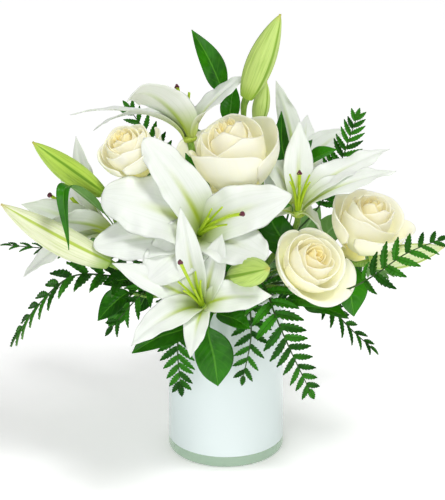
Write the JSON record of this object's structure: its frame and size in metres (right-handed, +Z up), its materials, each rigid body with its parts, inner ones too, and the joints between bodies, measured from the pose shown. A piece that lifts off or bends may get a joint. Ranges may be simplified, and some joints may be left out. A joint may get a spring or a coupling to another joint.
{
  "type": "bouquet in a vase",
  "caption": "Mixed bouquet of open white lilies, lily buds, cream roses, fern fronds and broad leaves, standing in water in a white glass cylinder vase.",
  "frame": {"origin": "centre of the vase's flat foot", "axes": "+Z up, -Y towards the front of the arrangement, +X to the viewer's right"},
  "size_m": [0.3853, 0.299, 0.4131],
  "materials": {
    "white_glass": "glossy white with a clear greenish foot",
    "water": "clear",
    "lily_petal": "matte, white with a yellow-green throat",
    "rose_petal": "velvety cream",
    "bud": "satin, green to cream with lime ribs",
    "stem": "satin green",
    "fern": "matte dark green",
    "leaf": "glossy green"
  },
  "bodies": {
    "root": {"vase": "white_glass", "water": "water", "lily_front_stem": "stem", "lily_front_petals": "lily_petal", "lily_centre_stem": "stem", "lily_centre_petals": "lily_petal", "lily_right_stem": "stem", "lily_right_petals": "lily_petal", "lily_upper_left_stem": "stem", "lily_upper_left_petals": "lily_petal", "lily_left_stem": "stem", "lily_left_petals": "lily_petal", "lily_upper_right_stem": "stem", "lily_upper_right_petals": "lily_petal", "rose_centre_stem": "stem", "rose_centre_head": "rose_petal", "rose_left_stem": "stem", "rose_left_head": "rose_petal", "rose_front_right_stem": "stem", "rose_front_right_head": "rose_petal", "rose_right_stem": "stem", "rose_right_head": "rose_petal", "bud_left_pale": "bud", "bud_left_green": "bud", "bud_top": "bud", "bud_top_back": "bud", "bud_centre": "bud", "bud_right": "bud", "fern_top_right": "fern", "fern_right": "fern", "fern_front_right": "fern", "fern_front": "fern", "fern_right_low": "fern", "fern_left_low": "fern", "fern_left_front": "fern", "fern_left": "fern", "fern_front_left": "fern", "fern_upper_left": "fern", "fern_back_left": "fern", "fern_back": "fern", "fern_back_right": "fern", "leaves_left_low": "leaf", "leaves_front": "leaf", "leaves_right": "leaf", "leaves_top": "leaf", "leaves_back_left": "leaf", "leaves_back_right": "leaf"}
  },
  "joints": []
}
